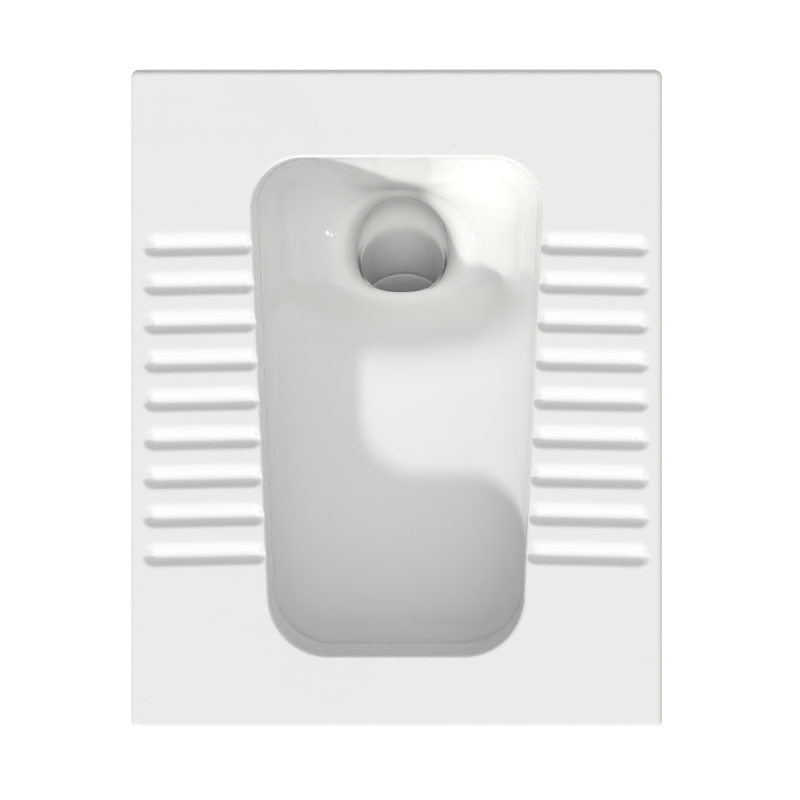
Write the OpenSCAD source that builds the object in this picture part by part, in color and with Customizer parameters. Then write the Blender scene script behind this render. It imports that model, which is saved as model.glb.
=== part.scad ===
// Squat toilet: a glazed china pan set in the floor, its water-seal trap and its pipe connectors.
// Millimetres. +Y is the outlet end of the bowl, -Y the wall end, and z = 0 is under the trap's foot.
// The modules draw downwards from the deck's top face, and place() lifts them all together.

/* [Deck] */
// Width of the deck across the two foot areas
deck_w = 500; // [470:1:560]
// Length of the deck from the wall end to the outlet end
deck_l = 620; // [612:1:700]
// Thickness of the deck's shell
deck_t = 12; // [9:0.5:14]
// Depth of the turned-down edge, which beds on the floor
skirt_h = 28; // [22:1:32]
// Thickness of the turned-down edge
skirt_t = 12; // [8:0.5:14]
// Radius of the deck's corners seen from above
deck_corner_r = 8; // [7:0.5:14]
// Radius of the rounding along the deck's top edge
deck_edge_r = 6; // [3:0.5:6.5]

/* [Foot treads] */
// Number of recessed treads on each side
tread_count = 9; // [3:1:10]
// Distance from one tread to the next
tread_pitch = 36.3; // [30:0.1:38]
// Width of a tread at the deck's face, its soft edges included
tread_w = 24.5; // [16:0.5:28]
// Depth of a tread below the deck
tread_depth = 4.6; // [2:0.1:6]
// Distance from a tread's rounded outer end to the deck's edge
tread_margin = 11; // [9:0.5:24]
// Fall of the treads' outer ends towards the wall end, in degrees
tread_slant = 1.2; // [0:0.1:2]

/* [Bowl opening] */
// Width of the opening at the outlet end, before its corners are rounded
bowl_wide_w = 282; // [262:1:296]
// Width of the opening at the wall end, before its corners are rounded
bowl_narrow_w = 241; // [225:1:262]
// Distance from the deck's edge to the opening's edge at the outlet end
outlet_margin = 80; // [70:1:84]
// Distance from the deck's edge to the opening's edge at the wall end
wall_margin = 67; // [64:1:90]
// Corner radius of the opening at the outlet end
bowl_outlet_r = 50; // [40:1:58]
// Corner radius of the opening at the wall end
bowl_wall_r = 60; // [45:1:66]

/* [Rim] */
// Radius of the shoulder where the deck turns down into the bowl
shoulder_r = 3; // [2:0.5:4]
// Depth of the lip below the deck
lip_h = 58; // [50:1:60]
// Thickness of the lip in front of the flushing channel
lip_t = 9; // [7:0.5:10]
// Width of the flushing channel behind the lip
channel_w = 15; // [11:0.5:16]
// Height of the slot between the lip's lower edge and the bowl's wall
slot_h = 11; // [8:0.5:13]

/* [Basin] */
// Thickness of the china around the bowl
wall_t = 11; // [9:0.5:12]
// Depth of the tray at the wall end
tray_depth = 110; // [104:1:116]
// Further fall of the tray by the time it reaches the brow
tray_fall = 6; // [2:0.5:8]
// Depth of the sump round the outlet
sump_depth = 160; // [150:1:164]
// Distance from the outlet's axis to the middle of the slope between tray and sump
slope_in = 74; // [71:1:80]
// Length of that slope
slope_run = 58; // [50:1:64]
// Plan width of the curved wall along each side
side_run = 58; // [46:1:60]
// Plan width of the curved wall at the wall end
end_run = 34; // [26:1:42]
// Plan width of the steep wall behind the outlet
back_run = 32; // [28:1:33]

/* [Outlet] */
// Distance from the opening's edge at the outlet end to the mouth's middle
outlet_in = 91; // [90:1:93]
// Width of the outlet's mouth
mouth_w = 92; // [90:1:96]
// Length of the outlet's mouth
mouth_l = 96; // [92:1:98]
// Depth of the rounded neck between the sump and the mouth
neck_h = 45; // [40:1:48]
// Bore of the outlet horn, the trap and its outlet
waste_bore_d = 84; // [78:1:88]
// Thickness of the china round that bore
tube_t = 9; // [8:0.5:10]
// Lean of the outlet horn towards the wall end, in degrees
horn_tilt = 45; // [42:1:48]
// Length of the plain outlet horn from the bend under the mouth
horn_l = 58; // [56:1:66]

/* [Trap] */
// Bend radius of the trap's U along its centre line
trap_bend_r = 64; // [62:1:68]
// Bend radius of the trap's outlet along its centre line
outlet_bend_r = 60; // [56:1:62]
// Depth of the water seal
water_seal = 50; // [50:1:70]
// Depth of the outlet pipe's axis below the deck
waste_axis_z = 200; // [200:1:206]
// Depth of the trap's socket round the outlet horn
socket_h = 42; // [34:1:43]
// Thickness of the socket's wall
socket_t = 9; // [7:0.5:11]
// Thickness of the rubber ring round the outlet horn
ring_t = 8; // [5:0.5:9]
// Thickness of the ring's flange under the horn's end
ring_flange_t = 4; // [3:0.5:6]
// Length of the trap's plain spigot
spigot_l = 46; // [42:1:56]
// Width of the trap's foot
foot_w = 104; // [80:1:130]
// Thickness of the trap's foot
foot_t = 9; // [7:0.5:12]

/* [Soil connector] */
// Outer diameter of the connector's plain end, which goes into a soil pipe socket
soil_od = 110; // [106:0.5:111]
// Wall thickness of the connector
soil_wall = 3.2; // [2.6:0.1:3.6]
// Length of the connector's plain end
soil_l = 62; // [50:1:80]
// Radial room for the rubber seal between spigot and connector
seal_room = 8; // [7:0.25:9]

/* [Flush connector] */
// Outer diameter of the pan's flushing inlet
inlet_od = 62; // [58:1:64]
// Bore of the rubber connector, for the flush pipe
flush_bore_d = 32; // [28:0.5:34]
// Thickness of the rubber
rubber_t = 4.5; // [3:0.25:4.75]
// Room between the deck's turned-down edge and the flush connector under it
inlet_gap = 2.5; // [1:0.5:6]

/* [Hidden] */

// Gap of a loose push fit, and a small overshoot for clean cuts
fit = 0.3;
eps = 1;

// Segments of the bowl's outline: corner arcs, long sides and short ends
n_corner = 7;
n_side = 9;
n_end = 4;
n_ring = 4 * n_corner + 2 * n_side + 2 * n_end;
// Rings down the shoulder, the wall, the floor, the neck and the bend, and along the underside
n_shoulder = 4;
n_wall = 8;
n_floor = 11;
n_neck = 5;
n_bend = 6;
n_under = 7;
// Segments across half a tread
n_tread = 6;
// Facets of round pieces
$fn = 96;

// Where the opening, the mouth and the slope lie along the deck
bowl_outlet_y = deck_l / 2 - outlet_margin;
bowl_wall_y = deck_l / 2 - wall_margin;
outlet_y = bowl_outlet_y - outlet_in;
slope_y = outlet_y - slope_in;

// The opening's sides: their slope, its angle and the half width at the deck's centre
side_k = (bowl_wide_w - bowl_narrow_w) / 2 / (bowl_outlet_y + bowl_wall_y);
side_a = atan(side_k);
mid_half_w = bowl_wide_w / 2 - side_k * bowl_outlet_y;

// The rim, as distances in from the opening's edge
lip_draft = 0.5;
wall_in = shoulder_r + lip_draft;
channel_in = wall_in - lip_t;
channel_out = channel_in - channel_w;
rim_out = channel_out - wall_t + 1;
channel_top_z = deck_t + 1;
wall_top_z = lip_h + slot_h;
outlet_foot_r = 60;
wall_foot_r = 34;

// The mouth, and the bores and tubes below it
axis = [0, outlet_y];
back_drop = neck_h - 5;
bore_r = waste_bore_d / 2;
tube_r = bore_r + tube_t;
socket_r = tube_r + ring_t;

// The bend under the mouth, as [y, depth]: the bore and the body turn about a hinge each, until they lie
// square to the horn, which starts at horn_at. The body's turn ends further along the horn.
horn_out = [cos(horn_tilt), sin(horn_tilt)];
horn_way = [-sin(horn_tilt), cos(horn_tilt)];
bore_hinge = [outlet_y - mouth_l / 2 - 4, sump_depth + 16];
bore_reach = bore_r + 2;
horn_at = bore_hinge + bore_reach * horn_out;
body_turn_l = 20;
body_mid = horn_at + body_turn_l * horn_way;
body_z = sump_depth + 12;
body_hinge = [body_mid[0] + (body_z - body_mid[1]) / tan(horn_tilt), body_z];
body_reach = norm(body_mid - body_hinge);
ledge_l = horn_l + ring_flange_t;

// The trap's U, its legs, its outlet and its foot
trap_z = waste_axis_z + 2 * bore_r + water_seal - trap_bend_r;
u_start_z = trap_z + trap_bend_r * horn_out[1];
leg_l = (u_start_z - horn_at[1]) / horn_way[1];
leg_step = 0.2;
leg_in = 3;
u_y = round(10 * (horn_at[0] + leg_l * horn_way[0] - trap_bend_r * horn_out[0])) / 10;
leg_y = u_y - trap_bend_r;
leg_top_z = waste_axis_z + outlet_bend_r;
bend_y = leg_y - outlet_bend_r;
spigot_y = bend_y - spigot_l;
foot_z = trap_z + trap_bend_r + tube_r + 6;
foot_l = 2 * (trap_bend_r + tube_r + 2);
foot_r = 16;
web_t = 18;
web_l = 2 * (trap_bend_r + tube_r - 18);
web_top = trap_bend_r - 8;

// The soil connector and its finned seal
soil_r = soil_od / 2;
soil_socket_r = tube_r + seal_room;
soil_mouth_y = bend_y - 6;
soil_stop_y = spigot_y - 2;
soil_end_y = soil_stop_y - soil_wall - soil_l;
seal_skin = 1.8;
seal_fin_t = 3;
seal_fins = 3;
seal_l = soil_mouth_y - soil_stop_y - 4;
seal_collar = 3;

// The flushing inlet and its rubber connector
inlet_r = inlet_od / 2;
flush_r = flush_bore_d / 2;
inlet_z = skirt_h + inlet_gap + flush_r + rubber_t;
inlet_bore_r = flush_r + rubber_t + 1.5;
inlet_end_y = -(deck_l / 2 - skirt_t - 5);
inlet_root_y = -(bowl_wall_y - wall_in + 5);
inlet_bore_y = -(bowl_wall_y + 7);
sleeve_gap = 1.5;
sleeve_l = -inlet_end_y - (bowl_wall_y - rim_out) - sleeve_gap;
neck_in_l = 14;
neck_end_y = -(deck_l / 2 - 1.5);

// --- shapes used more than once ---

// Raises a piece from the deck's frame to stand on the floor
module place() {
  translate([0, 0, foot_z]) children();
}

// Turns a piece drawn along +Z to run down the horn's axis
module along_horn() {
  translate([0, horn_at[0], -horn_at[1]]) rotate([180 - horn_tilt, 0, 0]) children();
}

// Turns a piece drawn along +Z to run along -Y from a point on the given depth
module along_wall(y, z) {
  translate([0, y, -z]) rotate([90, 0, 0]) children();
}

module rounded_plate(w, l, r) {
  square([w - 2 * r, l], center = true);
  square([w, l - 2 * r], center = true);
  for (x = [-1, 1])
    for (y = [-1, 1])
      translate([x * (w / 2 - r), y * (l / 2 - r)]) circle(r);
}

// A closed skin over a stack of rings, from the top one down
module skin(rings) {
  n = len(rings[0]);
  m = len(rings);
  lid = [for (i = [1:n]) n - i];
  base = [for (i = [0:n - 1]) (m - 1) * n + i];
  sides = [for (k = [0:m - 2]) for (i = [0:n - 1]) let (
    a = k * n,
    b = a + n,
    j = (i + 1) % n
  ) each [[a + i, a + j, b + j], [a + i, b + j, b + i]]];
  polyhedron([for (r = rings) each r], concat([lid], sides, [base]), convexity = 10);
}

function smooth(a, b, v) = let (t = min(1, max(0, (v - a) / (b - a)))) t * t * (3 - 2 * t);

function unit(v) = v / norm(v);

// --- the bowl's surface ---

function arc(c, r, a0, a1) = [for (i = [0:n_corner - 1]) let (
  a = a0 + (a1 - a0) * i / n_corner
) c + r * [cos(a), sin(a)]];

function line(p, q, n) = [for (i = [0:n - 1]) p + (q - p) * i / n];

// Outline of the opening, drawn in by separate amounts at its sides and its two ends
function outline(side_in, outlet_in, end_in, r1, r0) = let (
  y1 = bowl_outlet_y - outlet_in - r1,
  y0 = r0 + end_in - bowl_wall_y,
  c1 = [mid_half_w + side_k * y1 - side_in - r1 / cos(side_a), y1],
  c0 = [mid_half_w + side_k * y0 - side_in - r0 / cos(side_a), y0],
  d1 = [-c1[0], y1],
  d0 = [-c0[0], y0],
  n = [cos(side_a), -sin(side_a)],
  m = [-n[0], n[1]]
) concat(
  line(c0 + r0 * n, c1 + r1 * n, n_side),
  arc(c1, r1, -side_a, 90),
  line(c1 + [0, r1], d1 + [0, r1], n_end),
  arc(d1, r1, 90, 180 + side_a),
  line(d1 + r1 * m, d0 + r0 * m, n_side),
  arc(d0, r0, 180 + side_a, 270),
  line(d0 - [0, r0], c0 - [0, r0], n_end),
  arc(c0, r0, 270, 360 - side_a)
);

function flat(pts, z) = [for (p = pts) [p[0], p[1], -z]];

// The opening's edge drawn in evenly, at a depth
function edge(inset, z) = flat(
  outline(inset, inset, inset, bowl_outlet_r - inset, bowl_wall_r - inset), z);

// How much a point lies behind the outlet, and how much in front of it
function behind(p) = pow(max(0, unit(p - axis)[1]), 3);
function before(p) = 1 - smooth(25, 75, acos(-unit(p - axis)[1]));

// Depth of the floor: the falling tray, the slope and the sump, along lines that bow round the outlet
function floor_depth(p) = let (
  y = p[1] - 0.0015 * p[0] * p[0],
  tray = tray_depth + tray_fall * smooth(-bowl_wall_y, slope_y, y)
) tray + (sump_depth - tray) * smooth(slope_y - slope_run / 2, slope_y + slope_run / 2, y);

// The curved wall at angle a: upright at 0 and level with the floor at 90
function wall_plan(a) = let (s = 1 - cos(a)) outline(
  wall_in + side_run * s,
  wall_in + back_run * s,
  wall_in + end_run * s,
  (bowl_outlet_r - wall_in) * (1 - s) + outlet_foot_r * s,
  (bowl_wall_r - wall_in) * (1 - s) + wall_foot_r * s
);

function wall_ring(a) = [for (p = wall_plan(a)) let (
  b = behind(p),
  f = (1 - b) * sin(a) + b * (1 - cos(a)),
  foot = floor_depth(p) + b * back_drop
) [p[0], p[1], -(wall_top_z + (foot - wall_top_z) * f)]];

// The mouth is round behind the outlet's axis and squarer in front of it
function mouth_r(p) = let (
  c = unit(p - axis),
  n = c[1] > 0 ? 2 : 3
) pow(pow(abs(c[0]) / (mouth_w / 2), n) + pow(abs(c[1]) / (mouth_l / 2), n), -1 / n);

function around_mouth(p, out) = axis + unit(p - axis) * (mouth_r(p) + out);

foot_plan = wall_plan(90);
reach = [for (p = foot_plan) norm(p - axis) - mouth_r(p)];
neck_run = [for (i = [0:n_ring - 1]) min(6 + 20 * (1 - before(foot_plan[i])), reach[i])];
neck_drop = [for (p = foot_plan) 3 + (neck_h - 3) * (1 - before(p))];
foot_drop = [for (p = foot_plan) behind(p) * back_drop];

function floor_ring(j) = [for (i = [0:n_ring - 1]) let (
  q = around_mouth(foot_plan[i], neck_run[i] + (reach[i] - neck_run[i]) * pow(1 - j / n_floor, 1.5))
) [q[0], q[1], -floor_depth(q) - foot_drop[i]]];

function neck_ring(j) = [for (i = [0:n_ring - 1]) let (
  a = 90 * j / n_neck,
  q = around_mouth(foot_plan[i], neck_run[i] * (1 - sin(a))),
  drop = foot_drop[i] + (neck_drop[i] - foot_drop[i]) * (1 - cos(a))
) [q[0], q[1], -floor_depth(q) - drop]];

// A ring on its way round the bend: it turns about the hinge with share f of the tilt, and comes to a circle
function bend_ring(start, hinge, reach, r, f) = [for (i = [0:n_ring - 1]) let (
  c = unit(foot_plan[i] - axis),
  x = start[i][0] * (1 - f) + r * c[0] * f,
  out = (start[i][1] - hinge[0]) * (1 - f) + (reach + r * c[1]) * f,
  below = (-start[i][2] - hinge[1]) * (1 - f),
  a = horn_tilt * f
) [x, hinge[0] + out * cos(a) - below * sin(a), -(hinge[1] + out * sin(a) + below * cos(a))]];

// The underside, one wall's thickness outside the basin
function under_wall(a) = let (
  upper = wall_ring(a - 4),
  here = wall_ring(a),
  lower = wall_ring(min(90, a + 4))
) [for (i = [0:n_ring - 1]) let (
  round = here[(i + 1) % n_ring] - here[(i + n_ring - 1) % n_ring],
  down = lower[i] - upper[i]
) here[i] + wall_t * unit(cross(down, round))];

under_foot = under_wall(90);
horn_root = [for (p = foot_plan) around_mouth(p, wall_t - 3)];

function under_floor(j) = [for (i = [0:n_ring - 1]) let (
  t = 1 - pow(1 - j / n_under, 1.4),
  u = under_foot[i],
  q = [u[0], u[1]] * (1 - t) + horn_root[i] * t,
  fall = floor_depth(q + [0, 1]) - floor_depth(q - [0, 1])
) [q[0], q[1], -floor_depth(q) - foot_drop[i] - wall_t * norm([1, fall / 2])]];

// The rim's hollow from the lip's face: under the lip, up behind it, and down the channel's outer wall
function rim_rings() = [
  edge(wall_in, lip_h),
  edge(channel_in, lip_h),
  edge(channel_in, channel_top_z + 3),
  edge(channel_in - 3, channel_top_z),
  edge(channel_out + 3, channel_top_z),
  edge(channel_out, channel_top_z + 3),
  edge(channel_out, lip_h + 2)
];

// The space inside the bowl, with the flushing channel and the slot under the lip
module basin_void() {
  mouth = neck_ring(n_neck);
  skin(concat(
    [edge(0, -eps)],
    [for (i = [0:n_shoulder]) let (a = 90 * i / n_shoulder) edge(shoulder_r * sin(a), shoulder_r * (1 - cos(a)))],
    rim_rings(),
    [for (k = [0:n_wall]) wall_ring(90 * k / n_wall)],
    [for (j = [1:n_floor]) floor_ring(j)],
    [for (j = [1:n_neck]) neck_ring(j)],
    [for (k = [1:n_bend]) bend_ring(mouth, bore_hinge, bore_reach, bore_r - 1, k / n_bend)]
  ));
}

module basin_body() {
  root = [for (i = [0:n_ring - 1]) let (q = horn_root[i])
    [q[0], q[1], -(floor_depth(q) + foot_drop[i] + wall_t + 3)]];
  skin(concat(
    [edge(rim_out, deck_t - 4), edge(rim_out, wall_top_z - 8), edge(rim_out + 5, wall_top_z + 1)],
    [edge(wall_in - wall_t - 3, wall_top_z + 12)],
    [for (a = [30, 48, 66]) under_wall(a)],
    [under_foot],
    [for (j = [1:n_under - 1]) under_floor(j)],
    [for (k = [0:n_bend]) bend_ring(root, body_hinge, body_reach, tube_r - 1, k / n_bend)]
  ));
}

// --- the deck ---

module deck_block() {
  inner_w = deck_w - 2 * deck_edge_r;
  inner_l = deck_l - 2 * deck_edge_r;
  translate([0, 0, -skirt_h]) linear_extrude(skirt_h - deck_edge_r)
    rounded_plate(deck_w, deck_l, deck_corner_r);
  translate([0, 0, -deck_edge_r - eps]) linear_extrude(deck_edge_r + eps)
    rounded_plate(inner_w, inner_l, deck_corner_r - deck_edge_r);
  for (s = [-1, 1]) {
    translate([s * inner_w / 2, 0, -deck_edge_r]) rotate([90, 0, 0])
      cylinder(h = deck_l - 2 * deck_corner_r, r = deck_edge_r, center = true);
    translate([0, s * inner_l / 2, -deck_edge_r]) rotate([0, 90, 0])
      cylinder(h = deck_w - 2 * deck_corner_r, r = deck_edge_r, center = true);
  }
  for (x = [-1, 1])
    for (y = [-1, 1])
      translate([x * (deck_w / 2 - deck_corner_r), y * (deck_l / 2 - deck_corner_r), -deck_edge_r])
        rotate_extrude()
          intersection() {
            translate([deck_corner_r - deck_edge_r, 0]) circle(deck_edge_r);
            square(deck_corner_r);
          }
}

module deck_pocket() {
  translate([0, 0, -skirt_h - eps]) linear_extrude(skirt_h - deck_t + eps)
    rounded_plate(deck_w - 2 * skirt_t, deck_l - 2 * skirt_t, 6);
}

function tread_half(side) = [for (i = [0:n_tread]) let (v = i / n_tread)
  [side * v * tread_w / 2, -tread_depth * (1 + cos(180 * v)) / 2]];

// One recessed tread: its outer end is round and its inner end runs out over the bowl's shoulder
module tread(y) {
  reach_x = deck_w / 2 - tread_margin - tread_w / 2;
  length = reach_x - (mid_half_w + side_k * y - wall_in - 8);
  lid = tread_w / 2;
  profile = concat([[-lid, eps]], [for (i = [n_tread:-1:1]) tread_half(-1)[i]], tread_half(1), [[lid, eps]]);
  translate([reach_x, y, 0]) rotate([0, 0, -tread_slant]) {
    translate([-length, 0, 0]) rotate([90, 0, 90]) linear_extrude(length) polygon(profile);
    rotate([0, 0, -90]) rotate_extrude(angle = 180)
      polygon(concat([[0, eps]], tread_half(1), [[lid, eps]]));
  }
}

module treads() {
  for (i = [0:tread_count - 1])
    let (y = (i - (tread_count - 1) / 2) * tread_pitch) {
      tread(y);
      mirror([1, 0, 0]) tread(y);
    }
}

// The glazed casting: deck, rim, basin, outlet horn and flushing inlet
module pan() {
  color("white") place() difference() {
    union() {
      difference() {
        deck_block();
        deck_pocket();
      }
      basin_body();
      along_horn() translate([0, 0, body_turn_l - 5]) cylinder(h = horn_l - body_turn_l + 5, r = tube_r);
      along_wall(inlet_root_y, inlet_z) cylinder(h = inlet_root_y - inlet_end_y, r = inlet_r);
    }
    basin_void();
    treads();
    along_horn() translate([0, 0, -eps]) cylinder(h = horn_l + 2 * eps, r = bore_r);
    along_wall(inlet_bore_y, inlet_z) cylinder(h = inlet_bore_y - inlet_end_y + eps, r = inlet_bore_r);
  }
}

// --- the trap under the outlet ---

// The trap's solid tube at radius r: from a point on the horn's axis, round the U, up the second leg and out
// to the wall end. The leaning leg enters the U by leg_in, and is narrower than the U by leg_step.
module trap_run(r, start, over) {
  translate([0, u_y, -trap_z]) rotate([-90, 0, -90]) {
    rotate_extrude(angle = 180 - horn_tilt) translate([trap_bend_r, 0]) circle(r);
    rotate([0, 0, 180 - horn_tilt]) translate([trap_bend_r, -leg_in, 0]) rotate([-90, 0, 0])
      cylinder(h = leg_l - start + leg_in, r = r - leg_step);
  }
  translate([0, leg_y, -trap_z]) cylinder(h = trap_z - leg_top_z, r = r);
  translate([0, bend_y, -leg_top_z]) rotate([90, 0, 90]) rotate_extrude(angle = 90)
    translate([outlet_bend_r, 0]) circle(r);
  along_wall(bend_y, waste_axis_z) cylinder(h = spigot_l + over, r = r);
}

module trap_foot() {
  translate([0, u_y, -foot_z]) linear_extrude(foot_t) rounded_plate(foot_w, foot_l, foot_r);
  translate([-web_t / 2, u_y - web_l / 2, -foot_z]) cube([web_t, web_l, foot_z - trap_z - web_top]);
}

// The glazed trap: socket, U, outlet spigot and foot in one casting
module trap() {
  color("white") place() difference() {
    union() {
      trap_run(tube_r, ledge_l + 2, 0);
      along_horn() translate([0, 0, ledge_l - socket_h])
        cylinder(h = socket_h + socket_t, r = socket_r + fit + socket_t);
      trap_foot();
    }
    trap_run(bore_r, ledge_l - eps, eps);
    along_horn() translate([0, 0, ledge_l - socket_h - eps]) cylinder(h = socket_h + eps, r = socket_r + fit);
  }
}

// The rubber ring that seals the outlet horn into the trap, with a flange past the horn's end
module outlet_ring() {
  color("dimgray") place() along_horn() translate([0, 0, ledge_l]) rotate_extrude()
    polygon([
      [bore_r + 1.5, 0],
      [socket_r, 0],
      [socket_r, 5 - socket_h],
      [tube_r + fit + 1.5, 5 - socket_h],
      [tube_r + fit, 8 - socket_h],
      [tube_r + fit, -ring_flange_t],
      [bore_r + 1.5, -ring_flange_t]
    ]);
}

// --- the connectors at the wall end ---

// The rubber seal: a skin inside the connector's socket, a collar over its mouth and slanted fins
module soil_seal() {
  skin_r = soil_socket_r - fit;
  fin_r = skin_r - seal_skin;
  tip_r = tube_r + fit;
  pitch = (seal_l - seal_fin_t) / seal_fins;
  color("dimgray") place() along_wall(soil_mouth_y, waste_axis_z) rotate_extrude()
    union() {
      translate([fin_r, -seal_collar]) square([skin_r - fin_r, seal_l + seal_collar]);
      translate([fin_r, -seal_collar]) square([soil_socket_r + soil_wall - fin_r, seal_collar]);
      for (i = [0:seal_fins - 1])
        translate([0, i * pitch])
          polygon([
            [fin_r + 0.4, 0],
            [fin_r + 0.4, seal_fin_t],
            [tip_r, seal_fin_t * 2],
            [tip_r, seal_fin_t * 1.2]
          ]);
    }
}

// The plastic connector: a socket over the trap's spigot and a plain end for the soil pipe
module soil_connector() {
  stop = soil_mouth_y - soil_stop_y;
  last = soil_mouth_y - soil_end_y;
  color("lightgray") place() along_wall(soil_mouth_y, waste_axis_z) rotate_extrude()
    polygon([
      [soil_socket_r, 0],
      [soil_socket_r + soil_wall, 0],
      [soil_socket_r + soil_wall, stop + soil_wall],
      [soil_r, stop + soil_wall],
      [soil_r, last - 3],
      [soil_r - 1.2, last],
      [soil_r - soil_wall, last],
      [soil_r - soil_wall, stop],
      [soil_socket_r, stop]
    ]);
}

// The rubber connector: a sleeve over the inlet and a neck that grips the flush pipe
module flush_connector() {
  sleeve_r = inlet_r + fit;
  out_l = -neck_end_y + inlet_end_y;
  color("dimgray") place() along_wall(inlet_end_y, inlet_z) rotate_extrude()
    polygon([
      [flush_r, -neck_in_l],
      [flush_r + rubber_t, -neck_in_l],
      [flush_r + rubber_t, 0],
      [sleeve_r, 0],
      [sleeve_r, -sleeve_l],
      [sleeve_r + rubber_t, -sleeve_l],
      [sleeve_r + rubber_t, rubber_t],
      [flush_r + rubber_t, rubber_t],
      [flush_r + rubber_t, out_l],
      [flush_r, out_l]
    ]);
}

pan();
outlet_ring();
trap();
soil_seal();
soil_connector();
flush_connector();
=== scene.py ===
"""Dresses the squat toilet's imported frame: glazed china pan and trap, connectors, and a pale studio.

Sizes are in millimetres, as in the part's source, until a mesh is made. The pan is drawn downwards from the
deck's top face: a plan point is a complex number x + iy, and a depth is counted down from the deck. +Y is the
outlet end. A surface is an array of rings by points.
"""

from __future__ import annotations

import logging
import math
from dataclasses import dataclass, field, replace
from enum import Enum
from typing import Any

import bpy
import numpy as np
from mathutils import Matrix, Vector

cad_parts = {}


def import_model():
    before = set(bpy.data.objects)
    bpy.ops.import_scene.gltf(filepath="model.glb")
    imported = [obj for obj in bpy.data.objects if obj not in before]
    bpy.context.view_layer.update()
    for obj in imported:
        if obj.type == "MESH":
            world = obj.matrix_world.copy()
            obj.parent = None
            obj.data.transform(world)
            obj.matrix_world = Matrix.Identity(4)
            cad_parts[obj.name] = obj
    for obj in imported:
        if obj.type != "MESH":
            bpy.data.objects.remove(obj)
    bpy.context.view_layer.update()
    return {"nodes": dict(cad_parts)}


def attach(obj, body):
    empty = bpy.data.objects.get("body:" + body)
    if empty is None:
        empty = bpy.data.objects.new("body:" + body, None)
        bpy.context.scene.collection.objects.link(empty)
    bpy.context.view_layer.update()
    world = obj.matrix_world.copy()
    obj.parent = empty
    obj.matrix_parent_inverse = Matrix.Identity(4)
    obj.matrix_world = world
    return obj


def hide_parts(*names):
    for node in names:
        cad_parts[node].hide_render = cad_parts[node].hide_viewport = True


LOG = logging.getLogger("squat_toilet")
Array = np.ndarray
Rings = tuple[np.ndarray, np.ndarray]  # plan points and depths
Material = bpy.types.Material
Socket = bpy.types.NodeSocket
FOOT_DEPTH = 391.0
BODY = "root"
UNGLAZED = "unglazed"
QUARTER = math.pi / 2
CLOUD_EDGE = (0.35, 0.7)  # noise values between which a cloud comes in
SPECK_EDGE = (0.05, 0.11)  # distances from a cell's middle between which a speck goes out
SPECK_LOT = (0.955, 0.965)  # random values past which a cell has a speck


class Slot(Enum):
    """The record's material slots."""

    CHINA = "glazed_china"
    RUBBER = "seal_rubber"
    PIPE = "pipe_plastic"


# --- small helpers for arrays -------------------------------------------------------------------


def smooth(low: float, high: float, value: Array) -> Array:
    """A soft step: 3t² − 2t³, where t goes from 0 at low to 1 at high.

    Args:
        low: Value where the step starts.
        high: Value where the step ends.
        value: Values to map.

    Returns:
        The step, from 0 to 1.
    """
    t = np.clip((value - low) / (high - low), 0.0, 1.0)
    return t * t * (3.0 - 2.0 * t)


def column(value: Any) -> Array:
    """A value or a list of values as a column, one row for each ring."""
    return np.atleast_1d(np.asarray(value, float))[:, None]


def line(start: Array, end: Array, count: int) -> Array:
    """Points evenly from start up to, but not at, end, along the last axis."""
    return start + (end - start) * np.arange(count) / count


def arc(centre: Array, radius: Array, start: float, end: float, count: int) -> Array:
    """Points of an arc from angle start up to, but not at, end, in radians."""
    return centre + radius * np.exp(1j * (start + (end - start) * np.arange(count) / count))


def run(x0: float, y0: float, x1: float, y1: float, count: int) -> Array:
    """Points of a profile from (x0, y0) up to, but not at, (x1, y1)."""
    return line(x0 + 1j * y0, x1 + 1j * y1, count)


def rounding(x: float, y: float, radius: float, start: int, end: int, count: int) -> Array:
    """Points of a profile's arc about (x, y), between two angles in quarter turns."""
    return arc(x + 1j * y, radius, start * QUARTER, end * QUARTER, count)


def profile(*parts: Array) -> Array:
    """Joins runs of profile points end to end."""
    return np.concatenate([np.atleast_1d(p).ravel() for p in parts])


def rows(count: int) -> Array:
    """The numbers of rings or points from 0 to count − 1."""
    return np.arange(count, dtype=float)


# --- meshes -------------------------------------------------------------------------------------


def link(name: str, data: bpy.types.ID | None) -> bpy.types.Object:
    """Puts data into a new object of the scene."""
    thing = bpy.data.objects.new(name, data)
    bpy.context.scene.collection.objects.link(thing)
    return thing


@dataclass
class Surface:
    """A closed surface: vertices in millimetres, quads, how unglazed each vertex is, and triangles."""

    points: Array
    quads: Array
    bare: Array
    triangles: Array = field(default_factory=lambda: np.zeros((0, 3), int))

    def outward(self) -> None:
        """Turns all faces round if the closed volume comes out negative: a sixth of the sum of a·(b×c)."""
        corners = np.vstack([self.quads[:, [0, 1, 2]], self.quads[:, [0, 2, 3]], self.triangles])
        a, b, c = (self.points[corners[:, k]] for k in range(3))
        if np.einsum("ij,ij->i", a, np.cross(b, c)).sum() < 0:
            self.quads, self.triangles = self.quads[:, ::-1], self.triangles[:, ::-1]

    def settle(self, name: str, china: Material, node: str) -> None:
        """Makes a smooth-shaded china piece at the origin, in metres, that rides on the body.

        Args:
            name: The piece's name.
            china: Its material.
            node: The CAD node that it stands for.
        """
        self.outward()
        data = bpy.data.meshes.new(name)
        data.from_pydata(self.points / 1000.0, [], self.quads.tolist() + self.triangles.tolist())
        data.polygons.foreach_set("use_smooth", np.ones(len(data.polygons), bool))
        layer = data.attributes.new(UNGLAZED, "FLOAT", "POINT")
        layer.data.foreach_set("value", self.bare.astype(np.float32))
        data.update()
        data.materials.append(china)
        piece = link(name, data)
        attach(piece, BODY)
        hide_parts(node)
        LOG.info("%s: %d faces", name, len(data.polygons))


def upright(plan: Array, depth: Array) -> Array:
    """Plan points and depths below the deck as x, y, z above the floor, in millimetres."""
    plan, depth = np.broadcast_arrays(plan, depth)
    return np.stack([plan.real, plan.imag, FOOT_DEPTH - depth], axis=-1)


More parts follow.
